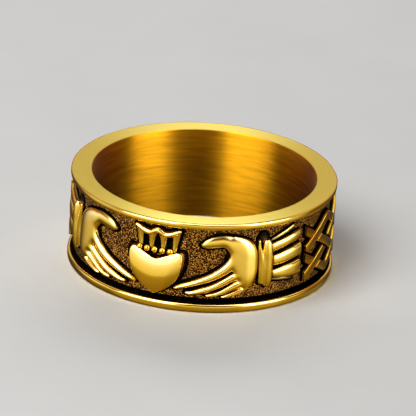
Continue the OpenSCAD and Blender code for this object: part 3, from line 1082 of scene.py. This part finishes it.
@dataclass
class Plait:
    """The four-strand plait round the back: flat straps with bevelled edges, over and under in turn."""

    strip: Strip
    caster: Caster
    finishes: Finishes
    first_deg: float = 68.8
    shows_deg: float = 71.8
    columns: int = 20
    row_h: float = 1.2
    width: float = 0.74
    gap: float = 0.16
    turn_r: float = 0.9
    turn_steps: int = 6
    crest: float = 0.45
    bevel: float = 0.06
    cut_every: float = 0.45
    bed_margin: float = 0.2
    bed_crest: float = 0.045

    @property
    def pitch(self) -> float:
        """Length on the strip from one column of crossings to the next."""
        return self.strip.arc(360 - 2 * self.first_deg) / self.columns

    @property
    def rise(self) -> Vector:
        """Direction of a strap that climbs to the right."""
        return Vector((self.pitch, self.row_h)).normalized()

    @property
    def fall(self) -> Vector:
        """Direction of a strap that falls to the right."""
        return Vector((self.pitch, -self.row_h)).normalized()

    def tucked_end(self, crossing: Vector, along: Vector, over: Vector, half: float, gap: float) -> list[Vector]:
        """Returns the two corners of a strap that stops beside the strap that lies over it.

        Args:
            crossing: Where the two straps' middles cross.
            along: The stopping strap's direction, towards the crossing.
            over: The other strap's direction.
            half: Half the stopping strap's width.
            gap: Distance from the crossing strap's edge to the end.
        """
        across = Vector((-along.y, along.x))
        away = Vector((-over.y, over.x))
        if away.dot(along) < 0:
            away = -away
        back = [(self.width / 2 + gap + across.dot(away) * half * s) / along.dot(away) for s in (-1, 1)]
        return [crossing + across * half * s - along * b for s, b in zip((-1, 1), back)]

    def straight(self, half: float, gap: float) -> list[Vector]:
        """Returns the outline of a strap that falls over one crossing between two that it dives under."""
        return self.tucked_end(Vector((self.pitch, -self.row_h)), self.fall, self.rise, half, gap) + self.tucked_end(
            Vector((-self.pitch, self.row_h)), -self.fall, self.rise, half, gap
        )

    def turned(self, half: float, gap: float) -> list[Vector]:
        """Returns the outline of a strap that falls, turns beside the lower rim and climbs again."""
        slope = math.atan2(self.row_h, self.pitch)
        middle_z = -2 * self.row_h + self.turn_r / math.cos(slope)
        bend = [-slope + 2 * slope * k / self.turn_steps for k in range(self.turn_steps + 1)]

        def arc(radius: float) -> list[Vector]:
            return [Vector((radius * math.sin(a), middle_z - radius * math.cos(a))) for a in bend]

        low = self.tucked_end(Vector((-self.pitch, -self.row_h)), -self.fall, self.rise, half, gap)
        high = self.tucked_end(Vector((2 * self.pitch, 0)), self.rise, self.fall, half, gap)
        return arc(self.turn_r + half) + high + arc(self.turn_r - half)[::-1] + low

    def block(self, name: str, outline: Sequence[Vector], crest: float, bevel: float) -> Object:
        """Returns a strap raised from its outline, with bevelled upper edges."""
        top, foot = self.strip.ground_y - crest, self.strip.ground_y + 0.2
        deselect_all()
        bpy.ops.mesh.primitive_circle_add(vertices=len(outline), radius=1, fill_type="NGON")
        obj = new_piece(name)
        edit_all(obj)
        place_vertices(obj, lambda i, _: (outline[i].x, foot, outline[i].y))
        bpy.ops.mesh.extrude_region_move(TRANSFORM_OT_translate={"value": (0, top - foot, 0)})
        if bevel:
            bpy.ops.mesh.region_to_loop()
            bpy.ops.mesh.bevel(offset=bevel, segments=2, affect="EDGES")
        bpy.ops.mesh.select_all(action="SELECT")
        bpy.ops.mesh.normals_make_consistent(inside=False)
        deselect_all()
        return obj

    def cut_across(self, obj: Object) -> None:
        """Cuts the piece at even steps along the strip, so that it can bend."""
        xs = [v.co.x for v in obj.data.vertices]
        count = int((max(xs) - min(xs)) / self.cut_every)
        edit_all(obj)
        for k in range(1, count + 1):
            bpy.ops.mesh.select_all(action="SELECT")
            x = min(xs) + (max(xs) - min(xs)) * k / (count + 1)
            bpy.ops.mesh.bisect(plane_co=(x, 0, 0), plane_no=(1, 0, 0), threshold=1e-5)
        deselect_all()

    def models(self, margin: float, crest: float, bevel: float) -> list[Object]:
        """Returns the three straps that repeat: straight, turned low and turned high."""
        half, gap = self.width / 2 + margin, self.gap - margin
        low = self.turned(half, gap)
        shapes = {"straight": self.straight(half, gap), "low_turn": low, "high_turn": [-v for v in low]}
        made = []
        for key, outline in shapes.items():
            obj = self.block(f"strap_{key}", outline, crest, bevel)
            self.cut_across(obj)
            made.append(obj)
        return made

    def lay(self, name: str, models: Sequence[Object]) -> Object:
        """Copies the straps round the strip, joins them and trims them at the sleeves."""
        laid = []
        for k in range(0, self.columns + 3, 2):
            x = self.strip.arc(self.first_deg) + k * self.pitch
            for model in models:
                twin = copy_of(model, "strap")
                twin.data.transform(Matrix.Translation((x, 0, self.strip.width / 2)))
                laid.append(twin)
        for model in models:
            bpy.data.objects.remove(model)
        obj = join(name, laid)
        edit_all(obj)
        for degrees, way in ((self.shows_deg, 1), (360 - self.shows_deg, -1)):
            bpy.ops.mesh.select_all(action="SELECT")
            bpy.ops.mesh.bisect(
                plane_co=(self.strip.arc(degrees), 0, 0), plane_no=(way, 0, 0), clear_inner=True, use_fill=True
            )
        deselect_all()
        return obj

    def bed(self) -> Object:
        """Returns the flat black plates round the straps, on the strip."""
        return self.lay("plait_bed", self.models(self.bed_margin, self.bed_crest, 0))

    def make(self) -> None:
        """Builds, bends and dresses the plait."""
        obj = self.lay("plait", self.models(0, self.crest, self.bevel))
        dress(self.caster.bend(obj), self.finishes.strap)
        select_only(obj)
        bpy.ops.object.shade_smooth_by_angle(angle=math.radians(25))
        deselect_all()


def fill_scale(scale: bpy.types.ColorRamp, stops: Sequence[tuple[float, Point]]) -> None:
    """Lays stops, each an elevation in degrees and a colour, on a scale that runs from straight down to up."""
    while len(scale.elements) < len(stops):
        scale.elements.new(0.5)
    for element, (degrees, colour) in zip(scale.elements, stops):
        element.position = degrees / 180 + 0.5
        element.color = colour


@dataclass(frozen=True)
class Card:
    """A stretch of the room's wall as polished metal mirrors it: a soft light card over a dark table.

    The azimuth is counted from the heart's side, anticlockwise from above. Each stop is an elevation in degrees
    and the brightness there. What is dim over the horizon is brown wall, and what is bright is a cool window.
    """

    azimuth_deg: float
    half_width_deg: float
    soft_deg: float
    stops: tuple[Point, ...]
    dim: str = "ffb860"
    dim_level: float = 0.6
    bright: str = "9ba8ff"
    bright_level: float = 1.5

    @property
    def peak(self) -> float:
        """The card's greatest brightness."""
        return max(level for _, level in self.stops)

    def colour(self, degrees: float, level: float) -> Point:
        """Returns the colour at a stop, as a share of the card's greatest brightness."""
        code = "ffffff"
        if level >= self.bright_level:
            code = self.bright
        elif level < self.dim_level and degrees > 0:
            code = self.dim
        return tuple(part * level / self.peak for part in srgb(code)[:3]) + (1.0,)

    def fill(self, scale: bpy.types.ColorRamp) -> None:
        """Lays the card's stops on a colour scale."""
        fill_scale(scale, [(degrees, self.colour(degrees, level)) for degrees, level in self.stops])


CARDS = (
    # The open room all round, which shows between the two front cards
    Card(30, 180, 1, ((-90, 0.12), (-50, 0.24), (-31, 0.34), (-23, 0.6), (-16, 0.85), (-7, 1.1), (5, 1.1),
                      (10, 0.2), (30, 0.12), (50, 0.16), (62, 0.3), (76, 3.5), (90, 14))),
    # The left wall, a low card over a dark table
    Card(-90, 22, 14, ((-90, 0.05), (-33, 0.12), (-29, 0.17), (-23, 0.5), (-18, 0.8), (-12, 2.6), (-5, 4), (6, 3.6),
                       (14, 0.5), (40, 0.3), (60, 1.2), (76, 4), (90, 14))),
    # The two dark sides
    Card(150, 20, 28, ((-90, 0.1), (-40, 0.25), (-29, 0.27), (-24, 0.12), (2, 0.1), (10, 0.4), (30, 0.4), (38, 0.5),
                       (44, 1.1), (60, 2.2), (76, 6), (90, 14))),
    Card(-134, 20, 34, ((-90, 0.05), (-25, 0.08), (2, 0.12), (10, 0.4), (30, 0.4), (38, 0.5), (44, 1.1),
                        (60, 2.2), (76, 6), (90, 14))),
    # The back wall, dark below and with a dark shelf high on it
    Card(199.5, 30, 12, ((-90, 0.05), (-25, 0.07), (-6, 0.1), (6, 0.5), (15, 0.62), (43, 0.62), (46, 0.15),
                         (54, 0.15), (59, 6), (66, 10), (90, 14))),
    # The front card and the right one
    Card(-25.5, 20, 9, ((-90, 0.14), (-50, 0.3), (-33, 0.38), (-27, 0.45), (-24, 0.87), (-12, 1.1),
                         (-4.5, 3.6), (0, 5.7), (4.5, 8.4), (9, 13), (20, 19), (45, 16), (65, 12), (90, 14))),
    Card(79, 15, 8, ((-90, 0.14), (-50, 0.3), (-31, 0.46), (-23, 0.8), (-18, 1.2), (-12, 6), (-5, 9), (10, 15),
                     (25, 19), (45, 15), (60, 12), (90, 14))),
)

# The colour of what the metal mirrors under the horizon: a warm table, and neutral where the cards stand on it
TINTS = ((-45, "ffdc6c"), (-31, "ffe883"), (-24, "fff9c4"), (-18, "ffffff"))


@dataclass
class Studio:
    """A pale floor, soft light and a long lens at the photograph's angle."""

    px_per_mm: float = 11.871
    frame_px: float = 416
    distance_mm: float = 600
    azimuth_deg: float = 19.5
    elevation_deg: float = 23.017
    roll_deg: float = 3.419
    aim_z_mm: float = 4
    shift_right_mm: float = 0.51
    shift_up_mm: float = 0.693
    floor_mm: float = 600
    # A black cup stands in the finger hole, which only the polished metal sees
    lining_r_mm: float = 9.4
    lining_z_mm: float = 0.02
    lining_h_mm: float = 7.88

    def camera(self) -> None:
        """Adds the camera."""
        az, el, roll = (math.radians(a) for a in (self.azimuth_deg, self.elevation_deg, self.roll_deg))
        back = Vector((math.cos(el) * math.sin(az), -math.cos(el) * math.cos(az), math.sin(el)))
        level = Vector((math.cos(az), math.sin(az), 0))
        upright = back.cross(level)
        right = level * math.cos(roll) + upright * math.sin(roll)
        up = upright * math.cos(roll) - level * math.sin(roll)
        target = Vector((0, 0, self.aim_z_mm)) + right * self.shift_right_mm + up * self.shift_up_mm
        place = (target + back * self.distance_mm) * MM
        data = bpy.data.cameras.new("camera")
        data.sensor_width = 36
        data.lens = data.sensor_width * self.distance_mm * self.px_per_mm / self.frame_px
        data.clip_start, data.clip_end = 0.01, 10
        camera = bpy.data.objects.new("camera", data)
        camera.matrix_world = Matrix.Translation(place) @ Matrix((right, up, back)).transposed().to_4x4()
        bpy.context.scene.collection.objects.link(camera)
        bpy.context.scene.camera = camera

    def floor(self) -> None:
        """Adds the floor, a matt pale sheet."""
        deselect_all()
        bpy.ops.mesh.primitive_plane_add(size=self.floor_mm * MM)
        obj = new_piece("floor")
        material, g = new_material("matt_pale_board")
        place = g.add("TexCoord").outputs["Object"]
        tone = g.add("TexNoise", {"Vector": place, "Scale": 90.0, "Detail": 3.0})
        colour = g.add("Mix", {0: tone, 6: srgb("c9c8c6"), 7: srgb("d2d1cf")}, data_type="RGBA").outputs[2]
        shader = g.add("BsdfPrincipled", {"Base Color": colour, "Roughness": 0.9, "Specular IOR Level": 0.0})
        g.add("OutputMaterial", {"Surface": shader})
        obj.data.materials.append(material)
        obj.visible_glossy = False

    def lining(self) -> None:
        """Adds a black cup in the finger hole, which darkens what the bore mirrors and doesn't show itself.

        Its wall is clear from outside, so each side of the bore mirrors the cup's far side and the room over it.
        """
        deselect_all()
        bpy.ops.mesh.primitive_circle_add(vertices=96, radius=self.lining_r_mm * MM, fill_type="NGON")
        obj = new_piece("black_lining")
        edit_all(obj)
        bpy.ops.transform.translate(value=(0, 0, self.lining_z_mm * MM))
        bpy.ops.mesh.extrude_region_move(TRANSFORM_OT_translate={"value": (0, 0, self.lining_h_mm * MM)})
        bpy.ops.mesh.delete(type="ONLY_FACE")
        bpy.ops.mesh.select_all(action="SELECT")
        bpy.ops.mesh.normals_make_consistent(inside=True)
        deselect_all()
        material, g = new_material("matt_black_card")
        black = g.add("BsdfPrincipled", {"Base Color": srgb("0a0806"), "Roughness": 0.9})
        behind = g.add("NewGeometry").outputs["Backfacing"]
        shader = g.add("MixShader", {0: behind, 1: black, 2: g.add("BsdfTransparent")})
        g.add("OutputMaterial", {"Surface": shader})
        obj.data.materials.append(material)
        obj.visible_camera = obj.visible_diffuse = obj.visible_shadow = False

    def light(
        self, name: str, azimuth: float, elevation: float, far_mm: float, size_mm: Point, watts: float
    ) -> None:
        """Adds a soft box that faces the ring.

        Args:
            name: The light's name.
            azimuth: Its direction from the ring in degrees, from the heart's side and anticlockwise from above.
            elevation: Its height above the floor in degrees.
            far_mm: Its distance.
            size_mm: Its width and height.
            watts: Its power.
        """
        az, el = math.radians(azimuth), math.radians(elevation)
        way = Vector((math.cos(el) * math.sin(az), -math.cos(el) * math.cos(az), math.sin(el)))
        data = bpy.data.lights.new(name, "AREA")
        data.shape = "RECTANGLE"
        data.size, data.size_y = size_mm[0] * MM, size_mm[1] * MM
        data.energy = watts
        obj = bpy.data.objects.new(name, data)
        obj.location = way * far_mm * MM
        obj.rotation_euler = way.to_track_quat("Z", "Y").to_euler()
        obj.visible_glossy = False
        bpy.context.scene.collection.objects.link(obj)

    def world(self) -> None:
        """Sets the room that the metal mirrors, card by card. The floor is lit by the soft boxes alone."""
        world = bpy.data.worlds.new("studio_room")
        bpy.context.scene.world = world
        world.use_nodes = True
        world.cycles_visibility.diffuse = False
        g = Graph(world.node_tree)
        axes = g.add("SeparateXYZ", {0: g.add("TexCoord").outputs["Generated"]}).outputs
        towards = g.add("Math", {0: axes[1], 1: -1.0}, operation="MULTIPLY")
        azimuth = g.add("Math", {0: axes[0], 1: towards}, operation="ARCTAN2")
        elevation = g.add("Math", {0: axes[2]}, operation="ARCSINE")
        height = g.add("Math", {0: elevation, 1: 1 / math.pi, 2: 0.5}, operation="MULTIPLY_ADD")
        light: Point | bpy.types.NodeSocket = srgb("000000")
        for card in CARDS:
            shade = g.add("ValToRGB", {0: height})
            card.fill(shade.color_ramp)
            level = g.add("VectorMath", {0: shade, "Scale": card.peak}, operation="SCALE")
            offset = g.add("Math", {0: azimuth, 1: math.radians(card.azimuth_deg)}, operation="SUBTRACT")
            turned = g.add("Math", {0: offset, 1: math.pi, 2: -math.pi}, operation="WRAP")
            far = g.add("Math", {0: turned}, operation="ABSOLUTE")
            edge = math.radians(card.half_width_deg)
            inside = g.add(
                "MapRange",
                {0: far, 1: edge, 2: edge + math.radians(card.soft_deg), 3: 1.0, 4: 0.0},
                interpolation_type="SMOOTHSTEP",
            )
            light = g.add("Mix", {0: inside, 6: light, 7: level}, data_type="RGBA").outputs[2]
        tint = g.add("ValToRGB", {0: height})
        fill_scale(tint.color_ramp, [(degrees, srgb(code)) for degrees, code in TINTS])
        glow = g.add("VectorMath", {0: light, 1: tint}, operation="MULTIPLY")
        g.add("OutputWorld", {0: g.add("Background", {0: glow})})

    def make(self) -> None:
        """Sets up the whole studio."""
        self.camera()
        self.floor()
        self.lining()
        self.world()
        self.light("key_softbox", -20, 55, 300, (200, 200), 0.9)
        self.light("back_softbox", 195, 35, 300, (260, 120), 0.5)
        bpy.context.scene.view_settings.view_transform = "Standard"


def read_strip(frame: dict) -> Strip:
    """Returns the band's sizes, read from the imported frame."""
    low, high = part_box(NODE)
    bore = next(m for m in frame["record"]["mounts"] if m["name"] == BORE_MOUNT)
    return Strip(rim_r=high.x / MM, bore_r=bore["dims"]["r_mm"], width=(high.z - low.z) / MM)


def main() -> None:
    """Builds the ring's pieces round the frame, and the studio round the ring."""
    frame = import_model()
    strip = read_strip(frame)
    caster = Caster(strip)
    finishes = Finishes()
    Studio().make()
    Band(strip, finishes).make()
    heart = Heart(strip, caster, finishes)
    heart.make()
    satin = finishes.satin
    forms = [
        Relief(
            strip, caster, "hand", HAND, satin, tip=0.14, swell=0.045, voxel=0.03, soften=24, core=HAND_CORE,
            core_soften=50, calm=240, lean=0.05, extra_beds=HAND_BED,
        ),
        Relief(strip, caster, "cuff", CUFF, satin, voxel=0.03, soften=14, left_shift_deg=1.5),
        Relief(
            strip, caster, "sleeve", SLEEVE, satin, squareness=3.6, tip=0.06, voxel=0.03, soften=12,
            left_shift_deg=1.5,
        ),
        Relief(
            strip, caster, "crown", crown_limbs(), satin, squareness=2.5, tip=0.05, swell=0.04, voxel=0.03,
            soften=12, bed_margin=0.26, extra_beds=CROWN_BED, both_sides=False,
        ),
    ]
    for form in forms:
        form.make()
    Beads(strip, caster, finishes).make()
    plait = Plait(strip, caster, finishes)
    plait.make()
    beds = [heart.bed(), plait.bed()]
    for form in forms:
        plates = form.beds()
        beds += plates
        if form.both_sides:
            beds += [form.left_of(plate, f"{form.name}_bed") for plate in plates]
    dress(caster.bend(join("patina", beds)), finishes.patina)


if __name__ == "__main__":
    logging.basicConfig(level=logging.INFO)
    main()
